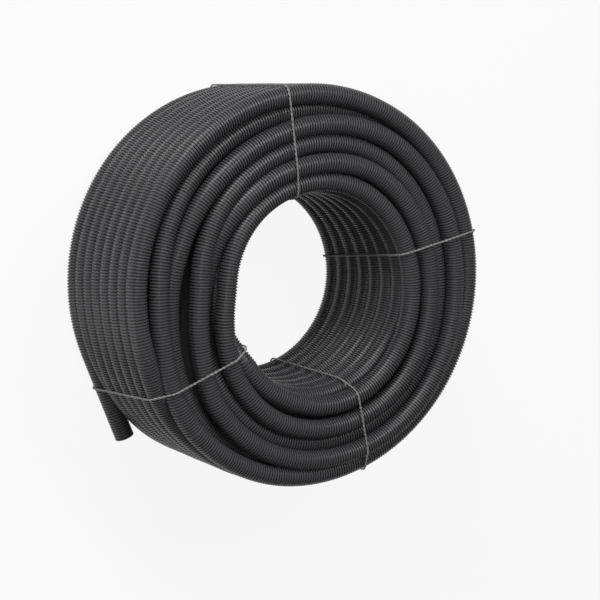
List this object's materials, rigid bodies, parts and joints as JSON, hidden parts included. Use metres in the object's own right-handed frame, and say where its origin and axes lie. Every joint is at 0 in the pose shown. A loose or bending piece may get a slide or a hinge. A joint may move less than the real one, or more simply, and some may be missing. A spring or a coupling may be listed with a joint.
{
  "type": "corrugated conduit coil",
  "caption": "Coil of black corrugated conduit wound side by side in layers round an open eye, tied with twine across its width, with one short free end.",
  "frame": {"origin": "middle of the eye, on the surface that the coil's rear face is laid on", "axes": "+Z along the coil's axis, from its rear face below to its front face above; the free end is at the rear, on the -X side, and points to -Y"},
  "size_m": [0.5, 0.5, 0.2089],
  "materials": {
    "conduit_plastic": "satin charcoal plastic, lightly dusty",
    "twine": "twisted twine"
  },
  "bodies": {
    "root": {"conduit": "conduit_plastic", "tie_top": "twine", "tie_right": "twine", "tie_foot": "twine", "tie_left": "twine"}
  },
  "joints": []
}
